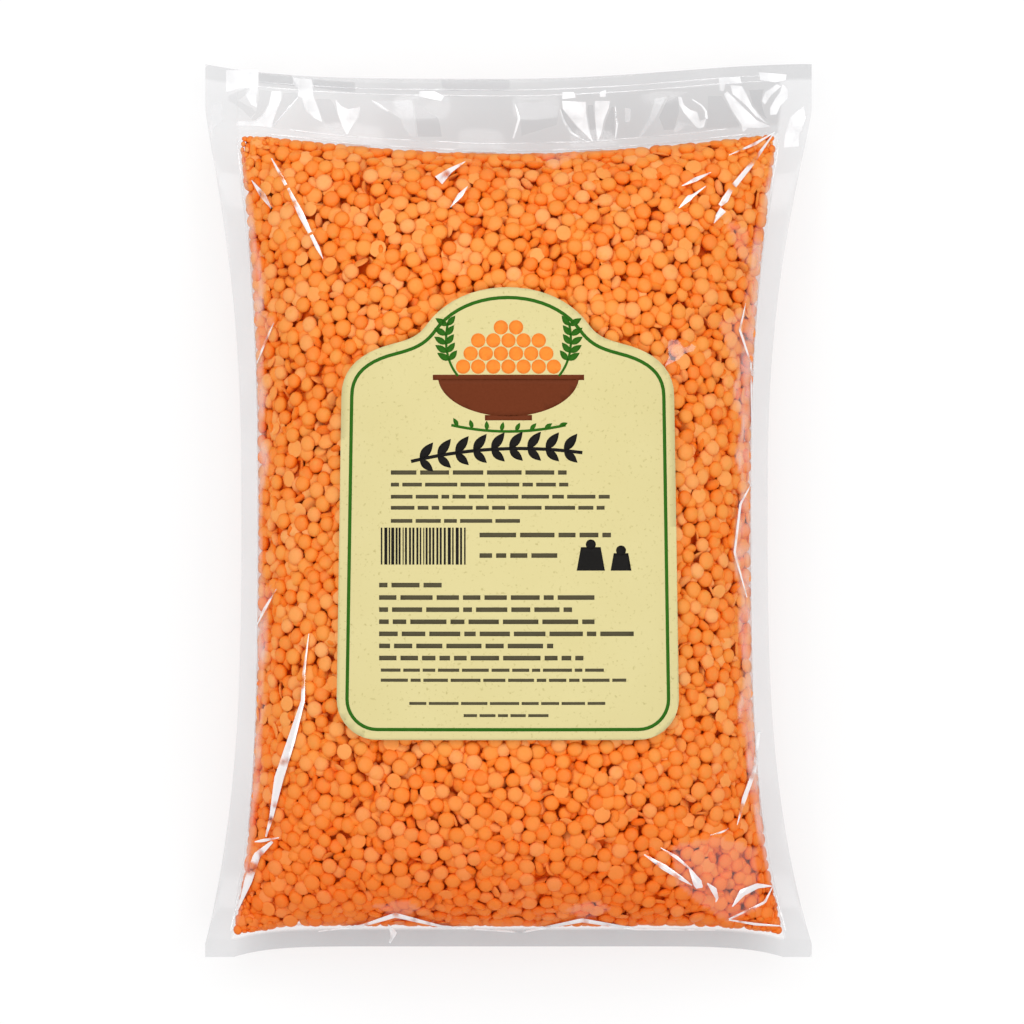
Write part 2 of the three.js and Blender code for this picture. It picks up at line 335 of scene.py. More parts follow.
def surface_normal(a, b, front):
    """The direction straight out of the pouch at a place on either film."""
    ahead = surface_point(a + NORMAL_STEP, b, front) - surface_point(a - NORMAL_STEP, b, front)
    up = surface_point(a, b + NORMAL_STEP, front) - surface_point(a, b - NORMAL_STEP, front)
    normal = ahead.cross(up).normalized()
    return normal if front else -normal


def folds(x, y, seed):
    """A field of soft creases from about -1 to 1, in metres and with one crease to each unit."""
    ridged = 1 - 2 * abs(noise.noise((x, y, seed)))
    return 0.65 * ridged + 0.35 * noise.noise((2.3 * x + 5, 2.3 * y, seed + 3))


DIMPLE_LENGTH = 5.5 * MM
DIMPLE = 0.09 * MM
HEADER_FOLD = 0.2 * MM
CORNER_FOLD = 0.35 * MM
SMOOTH_BORDER = 3 * MM


def over_filling(a, b, border):
    """1 over the filling and 0 outside it, with a smooth rise inside its border."""
    return eased(0, border, FILL_SIDE - abs(a)) * eased(0, border, min(b - FILL_LOW, FILL_HIGH - b))


def slack(a, b, front):
    """How far the film stands off its smooth form, outwards."""
    seed = 1.7 if front else 9.2
    in_header = max(0, b - FILL_HIGH) / (HEADER - TOP_SEAL)
    dimples = DIMPLE * noise.noise((a / DIMPLE_LENGTH, b / DIMPLE_LENGTH, seed))
    if 0 < in_header < 1:
        free = math.sin(math.pi * in_header) * (1 - past_side(a))
        lean = (b - FILL_HIGH) * 0.6 * math.sin(a / (21 * MM))
        return HEADER_FOLD * free * folds((a + lean) / (11 * MM), b / (26 * MM), seed)
    corner = eased(0.55, 1, abs(a) / FILL_SIDE) * eased(0.6, 1, abs(b - FILL_MIDDLE) / FILL_REACH)
    tension = CORNER_FOLD * corner * folds(a / (10 * MM) + b / (16 * MM), b / (40 * MM), seed)
    return (dimples + tension) * over_filling(a, b, SMOOTH_BORDER)


STRIP_WIDTH = {"left": 3.4 * MM, "right": 5.0 * MM}
BAND_WIDTH = 2.2 * MM
SEAL_MILK = 0.10
# The seals are a little frosted; strips along the sides and patches over the filling are whitened as painted
# sheen.
STRIP_SHEEN = 0.3
BAND_MILK = 0.10
PATCH_SHEEN = 0.08
# The least and the most painted shade in each part, as a share of a darker see-through film.
SHADE = {"bottom seal": (0.24, 0.51), "top seal": (0.24, 0.32), "sides": (0.12, 0.21), "header": (0.06, 0.28)}
GLOSS = {"free": 0.014, "over the filling": 0.0005}
SHEEN_PATCHES = [
    [(49, -100), (62, -97.5), (74, -101), (75, -119), (66, -123.5), (58, -118), (50, -111)],
    [(6.5, 108.5), (26, 109.5), (19, 105.5), (13.5, 102.6), (10, 105.5)],
    [(-40.5, -118), (-33, -122.5), (-26, -118.6), (-31, -116.6)],
    [(17, -119), (23, -122.5), (31, -119), (24.5, -116.2)],
    [(63, 56), (71, 60), (73, 40), (70.5, 38), (66.5, 46)],
    [(69, 2), (73, 6), (73, -20), (70, -14), (66.8, -12)],
    [(-76, 60), (-69.6, 57), (-74, 48), (-76, 44)],
    [(-75, -22), (-69.8, -23.5), (-74.5, -35)],
    [(65, 87), (71.5, 84), (72, 73), (69, 76), (66.5, 82)],
]


def in_patch(x, y):
    """True inside one of the patches of painted sheen over the filling."""
    for patch in SHEEN_PATCHES:
        inside = False
        for (x0, y0), (x1, y1) in zip(patch, patch[1:] + patch[:1]):
            if (y0 * MM > y) != (y1 * MM > y):
                if x < between(x0 * MM, x1 * MM, (y - y0 * MM) / (y1 * MM - y0 * MM)):
                    inside = not inside
        if inside:
            return True
    return False


def frost_and_highlight(a, b):
    """How white the film is: a little frost in the welded seals, a pale band just above the filling, and
    painted sheen in ragged strips along the sides and in patches over the filling.
    """
    in_seal = max(past_side(a) > 0, b < FILL_LOW, b > HALF_LENGTH - TOP_SEAL)
    side = "left" if a < 0 else "right"
    inwards = FILL_SIDE - abs(a)
    ragged = 0.75 + 0.9 * noise.noise((b / (14 * MM), a / (60 * MM), 4.4 if a < 0 else 8.1))
    width = STRIP_WIDTH[side] * ragged * side_draw(b)
    strip = eased(0, 0.4 * MM, inwards) * (1 - eased(width, width + 0.8 * MM, inwards))
    strip *= 0.65 + 0.8 * noise.noise((b / (5 * MM), a / (2 * MM), 3.3))
    band = eased(0, 0.3 * MM, b - FILL_HIGH) * (1 - eased(BAND_WIDTH, BAND_WIDTH + 0.5 * MM, b - FILL_HIGH))
    patch = 0 if in_seal else PATCH_SHEEN * in_patch(*seen_from_above(a, b))
    return max(SEAL_MILK * in_seal, STRIP_SHEEN * strip, BAND_MILK * band, patch)


def shade(a, b):
    """The painted shade on the film, a darker tint for shadow and weaker light: the bottom seal most, then
    the empty stretch, more to the right.
    """
    to_right = eased(-85 * MM, 10 * MM, a)
    uneven = 0.03 * noise.noise((a / (9 * MM), b / (13 * MM), 5.5))
    if b < FILL_LOW:
        return between(*SHADE["bottom seal"], bottom_draw(a)) + uneven
    if b > HALF_LENGTH - TOP_SEAL:
        return between(*SHADE["top seal"], to_right) + uneven
    if past_side(a) > 0:
        return between(*SHADE["sides"], eased(60 * MM, 115 * MM, -b)) + uneven
    return between(*SHADE["header"], to_right) + uneven if b > FILL_HIGH else 0


def gloss(a, b):
    """How much of the light the film mirrors, head on: least where it is stretched over the lentils."""
    return between(GLOSS["free"], GLOSS["over the filling"], over_filling(a, b, 2 * MM))


def new_piece(name, mesh, finish, replaced=None):
    """Puts a finished mesh into the scene as a piece of the pouch."""
    piece = bpy.data.objects.new(name, mesh)
    bpy.context.scene.collection.objects.link(piece)
    mesh.materials.append(finish)
    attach(piece, "root")
    if replaced:
        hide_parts(replaced)
    return piece


def mesh_from(name, shape):
    mesh = bpy.data.meshes.new(name)
    shape.to_mesh(mesh)
    shape.free()
    mesh.shade_smooth()
    return mesh


def add_sheet(shape, width, length, cell, front):
    """Adds a flat grid with sides of 1, with the cells of a sheet of that size, and gives its corners."""
    cells = {"x_segments": round(width / cell), "y_segments": round(length / cell)}
    sheet = bmesh.ops.create_grid(shape, **cells, size=0.5)["verts"]
    if not front:
        sheet_faces = list({face for corner in sheet for face in corner.link_faces})
        bmesh.ops.reverse_faces(shape, faces=sheet_faces)
    return sheet


def film_layers(shape):
    """Layers for what the film's finish reads at every corner: its frost and painted highlight, its gloss and
    its painted shade.
    """
    layers = shape.verts.layers.float
    for name in ("frost_and_highlight", "gloss", "shade"):
        layers.new(name)
    return layers["frost_and_highlight"], layers["gloss"], layers["shade"]


CELL = 1 * MM
RIM = 0.4999  # of a grid with sides of 1, further out than any corner inside its edges
film_shape = bmesh.new()
frost_and_highlight_layer, gloss_layer, shade_layer = film_layers(film_shape)
for front in (True, False):
    for corner in add_sheet(film_shape, POUCH_WIDTH, POUCH_LENGTH, CELL, front):
        a, b = corner.co.x * POUCH_WIDTH, corner.co.y * POUCH_LENGTH
        corner[frost_and_highlight_layer] = frost_and_highlight(a, b)
        corner[gloss_layer] = gloss(a, b)
        corner[shade_layer] = shade(a, b)
        on_rim = max(abs(corner.co.x), abs(corner.co.y)) > RIM
        corner.co = surface_point(a, b, front)
        if on_rim:
            corner.co.z = middle_height(a, b)
        else:
            corner.co += surface_normal(a, b, front) * slack(a, b, front)
bmesh.ops.remove_doubles(film_shape, verts=film_shape.verts, dist=0.01 * MM)
film_mesh = mesh_from("film_pouch", film_shape)
film_mesh.set_sharp_from_angle(angle=math.radians(100))

film_finish, nodes = new_finish("film")
# The film's finish: darkened by painted shade, whitened by a little frost in the seals and by painted
# highlights and sheen elsewhere, and mirroring a little.
clear = nodes.node("ShaderNodeBsdfTransparent", None, {"Color": (0.985, 0.986, 0.988, 1)})
# Painted shade: the darker see-through film that the shade attribute mixes in.
dusky = nodes.node("ShaderNodeBsdfTransparent", None, {"Color": (0.55, 0.55, 0.56, 1)})
frost_and_highlight_white = nodes.node("ShaderNodeBsdfDiffuse", None, {"Color": (0.92, 0.92, 0.93, 1)})
streaks = speckle(nodes, 140, 3)
mirror = nodes.node("ShaderNodeBsdfGlossy", None, {"Roughness": 0.05 + 0.10 * streaks})
frost_and_highlight_share = attribute(nodes, "frost_and_highlight")
glossiness = attribute(nodes, "gloss")
duskiness = attribute(nodes, "shade")
grazing = nodes.node("ShaderNodeLayerWeight", None, {"Blend": 0.12}, "Fresnel")
through = nodes.node("ShaderNodeMixShader", None, {0: duskiness, 1: clear, 2: dusky})
frosted_and_highlit = nodes.node("ShaderNodeMixShader", None, {0: frost_and_highlight_share, 1: through, 2: frost_and_highlight_white})
share = glossiness + (grazing - 0.005) * 0.35
finish_with(nodes, nodes.node("ShaderNodeMixShader", None, {0: share, 1: frosted_and_highlit, 2: mirror}))
new_piece("film_pouch", film_mesh, film_finish, "pouch")

# The pleats. Where the slack film is pinched it stands in sharp little folds, painted white as glints: each
# is a low tent along a path of places and widths, in millimetres seen from above. Thin lines of painted glint
# follow the welds, and the empty header has flat facets, each an outline of film whose whiteness is a painted
# highlight and whose darkness is painted shade.
PLEAT_FLANK = math.radians(14)
PLEAT_FOOT = 0.12 * MM
PLEAT_GLOSS = 0.12
PLEAT_GLINT = 0.85
PLEAT_STEP = 0.8 * MM
SQUARE = 2.5 * MM
PLEATS = [
    [(-71, 105.5, 0.3), (-68.5, 101, 0.9), (-66.6, 97.4, 0.9)],
    [(-65.9, 96.4, 0.7), (-62, 88.5, 1.8), (-59.3, 83, 1.2)],
    [(-58.9, 82.3, 1), (-57, 78.5, 1.2), (-55.4, 75.2, 0.2)],
    [(-12.9, 104.4, 0.2), (-17.5, 101.6, 1.6), (-20.9, 98.6, 3.2)],
    [(-12.2, 96.8, 0.2), (-14.4, 94.1, 1.5), (-17.3, 90.5, 0.2)],
    [(-77, 99, 0.2), (-73.6, 94.4, 1.8), (-71, 90.4, 0.3)],
    [(79.5, 113, 0.3), (73, 104, 1.3), (67.5, 97.2, 1.6)],
    [(66.6, 96.2, 1.3), (64.8, 93, 2), (63.2, 91.2, 1)],
    [(64.2, 90, 2.2), (62.6, 88, 1.4), (61.4, 85.8, 0.2)],
    [(80, 113.6, 0.2), (74, 110, 0.9), (66, 106.4, 0.2)],
    [(60.6, 101.2, 0.2), (56, 99, 1.3), (51.8, 97, 0.2)],
    [(59, 97, 0.2), (55, 94, 0.9), (54, 93.4, 1.8), (50.9, 90.3, 0.2)],
    [(-59.6, -36.8, 0.2), (-61, -48, 0.8), (-61.4, -56.9, 1.2), (-65, -69, 2.4),
     (-68.6, -80, 2.8), (-71, -92, 1.2), (-72.6, -97.6, 0.5)],
    [(-68.6, -97.8, 0.3), (-73.6, -98.8, 1), (-76, -99.2, 0.3)],
    [(-70.6, -99, 0.8), (-75.4, -103.4, 2.2), (-78, -111, 2.4), (-80, -116.6, 1),
     (-82.4, -122.3, 0.3)],
    [(40.4, -102.6, 0.3), (46.5, -106.5, 1.8), (51.5, -109.8, 1.2), (54.8, -112, 0.3)],
    [(45.4, -100.6, 0.2), (50, -103.4, 1), (54, -106.8, 0.5), (56.8, -111.8, 3), (58, -112.6, 0.3)],
    [(59.4, -111.4, 0.4), (61.4, -113.4, 1.8), (62.4, -116, 0.9), (62, -117.2, 0.2)],
    [(67, -118.6, 0.3), (70, -114.4, 2.2), (74.6, -112.4, 1.6), (79.2, -112.6, 0.3)],
    [(79.2, -112.8, 0.3), (76.8, -117.4, 0.8), (66, -122.4, 0.5)],
    [(66, -122.6, 0.4), (74, -124, 0.8), (81.4, -124.6, 0.4)],
    [(68.4, -94, 0.2), (70.6, -86, 1.4), (73.6, -78, 1.2), (75.2, -66, 0.8)],
    [(60.2, -97, 0.2), (64, -96, 0.6), (65.8, -95, 0.2)],
    [(-70, 56.5, 0.2), (-73, 50, 0.8), (-75.4, 44, 0.2)],
    [(-69.4, -23.5, 0.2), (-73, -29.5, 0.9), (-75.7, -35, 0.2)],
    [(71, 62, 0.2), (69.2, 54, 0.7), (72.6, 44, 0.5), (73, 22, 0.4)],
    [(72.8, 8, 0.3), (69.4, 2, 0.7), (67.6, -12.6, 0.7), (71.4, -26, 0.3)],
    [(-57, -126.2, 0.3), (-44, -124.4, 0.8), (-33.8, -121, 1.5), (-20, -124.6, 0.8),
     (4, -126.4, 0.5), (22, -122.6, 1.3), (38, -125.4, 0.8), (62, -125.8, 0.3)],
    [(-36, -124, 0.3), (-34.4, -126.6, 1.9), (-35.6, -129.6, 0.5)],
    [(-63.1, 124, 0.3), (-66.6, 120, 0.6), (-70.4, 115.6, 0.3)],
    [(-40.9, 122.9, 0.3), (-38.5, 121.3, 0.8), (-36.1, 119.7, 0.3)],
    [(2, 121.7, 0.2), (3.2, 117.5, 0.8), (1.4, 111.5, 0.5)],
    [(15.5, 120.2, 0.2), (16.7, 116.6, 0.6), (19.1, 113, 0.7), (23.9, 110.3, 0.3)],
    [(32, 121.1, 0.2), (32.6, 116, 0.6), (32, 111.2, 0.3)],
    [(59.3, 117.4, 0.8), (59.2, 119.6, 0.6), (58, 121.4, 0.5), (55.1, 123.2, 0.3)],
]
# Each line across the pouch: its place along the film, and how far it reaches to either side.
CROSS_LINES = [(HALF_LENGTH - 3.1 * MM, 80 * MM), (HALF_LENGTH - 4.7 * MM, 80 * MM),
               (FILL_HIGH + 0.3 * MM, 72 * MM), (FILL_HIGH + 2.4 * MM, 66 * MM)]
CROSS_LINE_POINTS = 40
CROSS_LINE_WIDTH = 0.4
CROSS_LINE_GLINT = 0.25
CROSS_LINE_GLOSS = 0.1
FACET_LIFT = 0.25 * MM
FACET_GLOSS = 0.02
# The painted highlight, as whiteness, and the painted shade of each look.
FACET_PAINTED_LIGHT = {"white": (0.8, 0), "pale": (0.2, 0), "dim": (0, 0.09), "dark": (0, 0.17)}
FACETS = [
    ("white", [(-84.8, 132.2), (-75.1, 132.2), (-75.1, 127.3), (-75.8, 123.1), (-75.5, 121),
        (-77.2, 121.9), (-78.8, 124.6), (-77.5, 126.8), (-80.5, 126.8), (-84.8, 125.5)]),
    ("dim", [(-84.1, 124.6), (-78.5, 126.8), (-79, 124.6), (-81.1, 123.1), (-77, 120.8), (-75.8, 119.5),
        (-77.5, 117.8), (-80.5, 120.8), (-84.1, 123.1)]),
    ("dim", [(-74.8, 126.4), (-71.2, 125.8), (-72.1, 121.9), (-74, 118.6), (-76, 117.1), (-77.2, 117.4),
        (-75.8, 119.5), (-75.1, 122.2)]),
    ("white", [(-71, 125.8), (-68.2, 125.8), (-68.2, 123.4), (-69.8, 119.5), (-71, 114.8), (-74, 115.3),
        (-81.8, 115.6), (-81.1, 116.8), (-76, 116.8), (-73.6, 118.6), (-71.8, 121.9)]),
    ("dim", [(-67.6, 125.2), (-63.8, 125.5), (-63.1, 124), (-70.3, 115), (-71.2, 115.9), (-69.5, 119.8),
        (-68, 123.1)]),
    ("white", [(-64.6, 129.8), (-58.9, 129.4), (-58.6, 124.3), (-57.1, 120.8), (-55.9, 116.5),
        (-58.3, 117.8), (-60.8, 120.1), (-61.9, 123.8), (-63.1, 124.3), (-63.1, 126.8), (-64.6, 127.9)]),
    ("dark", [(-75.1, 131.5), (-65, 130.7), (-65, 129.8), (-63.1, 127.3), (-69.1, 127.9), (-74.8, 128.5)]),
    ("dark", [(-59.2, 129.4), (-46, 128.5), (-46, 125.5), (-53.5, 126.1), (-58.3, 127)]),
    ("dim", [(-58, 123.4), (-53.5, 123.4), (-52.4, 121.9), (-51.1, 118.3), (-49.9, 114.8),
        (-53.5, 114.1), (-55.9, 117.8)]),
    ("white", [(-52, 123.4), (-50.2, 121.3), (-48.1, 120.4), (-44.5, 121), (-45.1, 117.8),
        (-47.2, 114.8), (-48.4, 112.6), (-49.6, 114.8), (-51.1, 118.9)]),
    ("pale", [(-40.9, 122.8), (-28.9, 123.1), (-28.1, 117.8), (-27.4, 112), (-29.5, 112),
        (-31.3, 114.8), (-32.5, 117.4), (-36.1, 119.8)]),
    ("dark", [(-28.3, 121.6), (-26.2, 121.6), (-24.1, 119.5), (-21.1, 117.8), (-19.9, 112),
        (-27.1, 112), (-27.8, 117.8)]),
    ("white", [(-26.6, 125.8), (-22.3, 125.8), (-19.3, 124.3), (-20.2, 122.8), (-25.1, 123.8),
        (-27.1, 124.3)]),
    ("dim", [(-20.6, 129.2), (0.4, 129.2), (0.4, 125.8), (-19.3, 125.8)]),
    ("dim", [(2.2, 122.2), (10.9, 122.5), (15.4, 121), (14.5, 115.6), (4, 112.3), (3.4, 117.4)]),
    ("dark", [(15.8, 120.8), (19.9, 115.6), (25.1, 110.5), (22.6, 111.1), (18.4, 113.8), (16.1, 117.4)]),
    ("white", [(16.1, 122.8), (23.2, 122.5), (23.2, 119.5), (24.1, 114.1), (25.3, 110.5), (20.2, 115.6),
        (16.3, 120.4)]),
    ("dark", [(23.8, 121.6), (25.3, 121.6), (25.9, 117.1), (26.6, 110.5), (25.6, 110.5), (24.4, 114.8),
        (23.6, 119.5)]),
    ("white", [(25.9, 122.8), (30.4, 122.8), (30.1, 120.8), (28.6, 117.1), (27.8, 113), (26.8, 110.8),
        (26.2, 114.8), (25.9, 119.5)]),
    ("dark", [(30.8, 121), (31.6, 121), (31.9, 112.6), (30.1, 111.1), (27.8, 111.1), (29.2, 116.8)]),
    ("white", [(16.1, 125.5), (19.6, 125.5), (20.2, 123.8), (16.1, 123.4)]),
    ("white", [(27.4, 125.5), (29.2, 126.1), (29.2, 124), (27.4, 124)]),
    ("pale", [(34.9, 120.8), (36.8, 120.4), (36.4, 116.5), (34.9, 116.5)]),
    ("pale", [(43.9, 123.4), (47.2, 124), (44.5, 118.3), (39.8, 112), (38.9, 112), (42.4, 118.3)]),
    ("dark", [(47.9, 124), (50.9, 123.8), (51.1, 119.5), (49.6, 114.1), (46.6, 114.1), (45.1, 117.8)]),
    ("white", [(50.9, 124), (51.8, 124), (52.6, 121.6), (54.4, 120.1), (56.5, 119.5), (57.4, 116.8),
        (59.2, 117.4), (58.6, 115), (57.4, 114.5), (56.2, 115), (54.4, 117.1), (52.6, 119.2),
        (51.1, 121.9)]),
    ("pale", [(50.9, 116.5), (53.2, 116.2), (55.9, 115.3), (53.2, 115.3), (51.8, 114.1), (49.9, 113.2),
        (49.4, 113.8)]),
    ("dim", [(59.8, 124.3), (64, 124.3), (67, 119.5), (69.5, 115), (59.2, 114.5), (59.8, 117.8)]),
    ("white", [(64.6, 124.9), (65.5, 125.8), (71, 120.4), (74.5, 117.1), (78.5, 115.3), (76, 114.8),
        (71.8, 114.8), (70.3, 113.5), (69.8, 115.9), (67, 120.1)]),
    ("white", [(66.5, 127.6), (70, 127.3), (71.5, 124.6), (73, 121.3), (76, 117.8), (77.8, 115.9),
        (74.2, 118.3), (71.2, 121.6), (67.3, 124.9)]),
    ("dark", [(72.1, 126.1), (76.6, 126.4), (75.8, 122.8), (76.6, 119.5), (77.5, 117.4), (75.5, 118.9),
        (73.3, 121.9)]),
    ("white", [(63.1, 129.8), (69.5, 130), (69.8, 128.2), (65, 127.9), (64.6, 125.8), (63.4, 125.8)]),
    ("white", [(75.1, 131.5), (83.5, 130.9), (83.2, 129.2), (80, 128.5), (75.5, 129.2)]),
    ("white", [(80.5, 127.9), (81.8, 127.3), (78.8, 124.6), (77, 121.9), (76, 122.8), (77, 125.5)]),
    ("white", [(82.3, 127.9), (83.8, 126.4), (83.8, 123.8), (81.5, 121.3), (80.5, 118.9), (78.5, 118.6),
        (78.5, 120.8), (80.2, 123.8), (81.5, 125.5)]),
    ("white", [(88.6, 121.3), (89.2, 117.8), (88.3, 115.3), (87.1, 112.3), (87.1, 109.3), (82.6, 108.8),
        (83, 112.6), (83.8, 115), (84.5, 117.8), (86.2, 119.5)]),
    ("pale", [(-89, 121.9), (-86, 122.5), (-85.6, 117.1), (-88.3, 114.8), (-89.2, 111.1), (-89.8, 114.8)]),
    ("pale", [(47.9, 50.9), (50.5, 50.9), (52.4, 48.4), (54.8, 49.6), (55.9, 48.8), (55, 47.5),
        (52.6, 46.9), (50.9, 45.1), (46.6, 43), (47.9, 46), (47.5, 48.8)]),
]


def drape_height(x, y):
    """The height of the smooth front film at a place seen from above."""
    a, b = film_place(x, y)
    return surface_height(a, b, True)


def along_path(path, share):
    """The place and the width at a share of the way along a path, with even steps from point to point."""
    reach = share * (len(path) - 1)
    leg = min(int(reach), len(path) - 2)
    before, after = path[leg], path[leg + 1]
    return [between(before[i], after[i], reach - leg) * MM for i in range(3)]


def lay_over(shape, lift):
    """Cuts a flat shape into small squares and lays it over the front of the pouch."""
    for axis in (0, 1):
        places = [corner.co[axis] for corner in shape.verts]
        for step in range(math.floor(min(places) / SQUARE), math.ceil(max(places) / SQUARE) + 1):
            cut = Vector((0, 0, 0))
            cut[axis] = step * SQUARE
            normal = Vector((0, 0, 0))
            normal[axis] = 1
            geometry = shape.verts[:] + shape.edges[:] + shape.faces[:]
            bmesh.ops.bisect_plane(shape, geom=geometry, plane_co=cut, plane_no=normal, dist=0.001 * MM)
    for corner in shape.verts:
        corner.co.z = drape_height(corner.co.x, corner.co.y) + lift


cross_lines = []
for b, reach in CROSS_LINES:
    line = []
    for step in range(CROSS_LINE_POINTS + 1):
        a = between(-reach, reach, step / CROSS_LINE_POINTS)
        x, y = seen_from_above(a, b)
        line.append((x / MM, y / MM, CROSS_LINE_WIDTH * (0.6 + 0.8 * abs(math.sin(a / (13 * MM))))))
    cross_lines.append(line)
for side in (-1, 1):
    line = []
    for step in range(CROSS_LINE_POINTS + 1):
        b = between(FILL_LOW + 2 * MM, FILL_HIGH - 2 * MM, step / CROSS_LINE_POINTS)
        x, y = seen_from_above(side * (FILL_SIDE + 0.2 * MM), b)
        line.append((x / MM, y / MM, CROSS_LINE_WIDTH * (0.8 + 0.9 * abs(math.sin(b / (11 * MM))))))
    cross_lines.append(line)

pleat_shape = bmesh.new()
frost_and_highlight_layer, gloss_layer, shade_layer = film_layers(pleat_shape)
for look, outline in FACETS:
    corners = [pleat_shape.verts.new((x * MM, y * MM, 0)) for x, y in outline]
    for corner in corners:
        corner[frost_and_highlight_layer], corner[shade_layer] = FACET_PAINTED_LIGHT[look]
        corner[gloss_layer] = FACET_GLOSS
    pleat_shape.faces.new(corners)
pleat_shape.normal_update()
lay_over(pleat_shape, FACET_LIFT)
for corner in pleat_shape.verts:
    corner[frost_and_highlight_layer] *= 0.85 + 0.7 * noise.noise((corner.co.x / (4 * MM), corner.co.y / (4 * MM), 7.7))
for path in PLEATS + cross_lines:
    length = sum(math.dist(p[:2], q[:2]) for p, q in zip(path, path[1:])) * MM
    cells = max(6, round(length / PLEAT_STEP))
    for corner in bmesh.ops.create_grid(pleat_shape, x_segments=cells, y_segments=4, size=0.5)["verts"]:
        share, across = corner.co.x + 0.5, 2 * corner.co.y
        x, y, width = along_path(path, share)
        before = along_path(path, max(0, share - 0.02))
        after = along_path(path, min(1, share + 0.02))
        course = Vector((after[0] - before[0], after[1] - before[1])).normalized()
        x -= course.y * across * width / 2
        y += course.x * across * width / 2
        rise = (1 - abs(across)) * width / 2 * math.tan(PLEAT_FLANK)
        corner.co = (x, y, drape_height(x, y) + PLEAT_FOOT + rise)
        cloud = eased(-0.6, -0.05, noise.noise((x / (2.8 * MM), y / (2.8 * MM), 0.4)))
        corner[frost_and_highlight_layer] = (PLEAT_GLINT if path in PLEATS else CROSS_LINE_GLINT) * cloud
        corner[gloss_layer] = PLEAT_GLOSS if path in PLEATS else CROSS_LINE_GLOSS
new_piece("film_pleats", mesh_from("film_pleats", pleat_shape), film_finish, "pouch")

# The label. A sticker of uncoated cream paper with a domed top, pressed onto the front film over the
# lentils. It is cut from a flat sheet, so its outline is drawn flat and then laid over the pouch.
LABEL_MIDDLE = -0.2 * MM
# The right half of the outline, as Bezier curves in millimetres: start, two handles and end.
LABEL_CURVES = [
    [(39, -68.3), (45.6, -68.3), (51, -62.9), (51, -56.3)],
    [(51, -56.3), (50.5, -26.2), (50.1, 3.9), (49.6, 34)],
    [(49.6, 34), (49.6, 43), (43, 47.5), (34, 49.7)],
    [(34, 49.7), (29, 51), (26.5, 52), (24, 55.5)],
    [(24, 55.5), (19, 62.5), (10, 66.5), (0, 66.5)],
]
LABEL_LIFT = 0.8 * MM
LABEL_THICKNESS = 0.4 * MM
CURVE_STEPS = 10
label_edge = []
for start, pull, hold, end in LABEL_CURVES:
    for step in range(CURVE_STEPS):
        t = step / CURVE_STEPS
        weights = ((1 - t) ** 3, 3 * t * (1 - t) ** 2, 3 * t * t * (1 - t), t ** 3)
        label_edge.append([sum(w * p[axis] * MM for w, p in zip(weights, (start, pull, hold, end)))
                           for axis in (0, 1)])
label_edge.append([LABEL_CURVES[-1][-1][0] * MM, LABEL_CURVES[-1][-1][1] * MM])


def label_outline(shape):
    """The label's outline as one face: the right half from its curves, the left half its mirror image."""
    points = label_edge + [[-x, y] for x, y in reversed(label_edge[:-1])]
    face = shape.faces.new([shape.verts.new((x + LABEL_MIDDLE, y, 0)) for x, y in points])
    shape.normal_update()
    return face


def under_label(x, y, border):
    """True for a place that the label covers by more than a border."""
    for (x0, y0), (x1, y1) in zip(label_edge, label_edge[1:]):
        if y0 <= y - border and y + border <= label_edge[-1][1] and y0 <= y <= y1:
            return abs(x - LABEL_MIDDLE) < between(x0, x1, (y - y0) / (y1 - y0)) - border
    return False


def thicken(piece, thickness):
    """Gives a sheet its thickness, downwards."""
    modifier = piece.modifiers.new("thickness", "SOLIDIFY")
    modifier.thickness = thickness
    modifier.offset = -1


label_shape = bmesh.new()
label_outline(label_shape)
lay_over(label_shape, LABEL_LIFT)
label_finish, nodes = new_finish("label_paper")
clouds = speckle(nodes, 45, 4)
specks = speckle(nodes, 950, 2)
paper = mixed_colour(nodes, clouds, paint(208, 196, 139), paint(214, 203, 149))
paper = mixed_colour(nodes, (specks - 0.62) * 5, paper, paint(180, 167, 110))
relief = nodes.node("ShaderNodeBump", None, {"Height": specks, "Strength": 0.12, "Distance": 0.0002})
values = {"Base Color": paper, "Roughness": 0.78, "Specular IOR Level": 0.15, "Normal": relief}
finish_plainly(nodes, values)
label = new_piece("label_paper", mesh_from("label_paper", label_shape), label_finish, "label")
thicken(label, LABEL_THICKNESS)

# The print. Flat inks on the label: a thin green border line, a brown bowl of orange lentils with green
# sprigs, a black twig, two weights and a block of upright stripes, and rows of grey bars like small print.
INK_LIFT = 0.03 * MM
INK_THICKNESS = 0.06 * MM


def ink_finish(name, colour):
    """Ink that lets a little of the paper's grain through."""
    finish, nodes = new_finish(name)
    grain = speckle(nodes, 1400, 2)
    paler = [min(1, channel * 1.25 + 0.004) for channel in colour[:3]] + [1]
    shade = mixed_colour(nodes, grain, colour, paler)
    values = {"Base Color": shade, "Roughness": 0.6, "Specular IOR Level": 0.12}
    finish_plainly(nodes, values)
    return finish


def print_ink(name, shape, finish):
    lay_over(shape, LABEL_LIFT + INK_LIFT)
    thicken(new_piece(name, mesh_from(name, shape), finish), INK_THICKNESS)


def add_bar(shape, left, right, middle, height, slant=0):
    """A plain bar, upright or slanted."""
    for corner in bmesh.ops.create_grid(shape, x_segments=1, y_segments=1, size=0.5)["verts"]:
        along, up = corner.co.x + 0.5, corner.co.y * height
        corner.co = ((between(left, right, along) + up * slant) * MM, (middle + up) * MM, 0)


def add_disc(shape, x, y, radius):
    place = Matrix.Translation((x * MM, y * MM, 0))
    bmesh.ops.create_circle(shape, cap_ends=True, segments=20, radius=radius * MM, matrix=place)


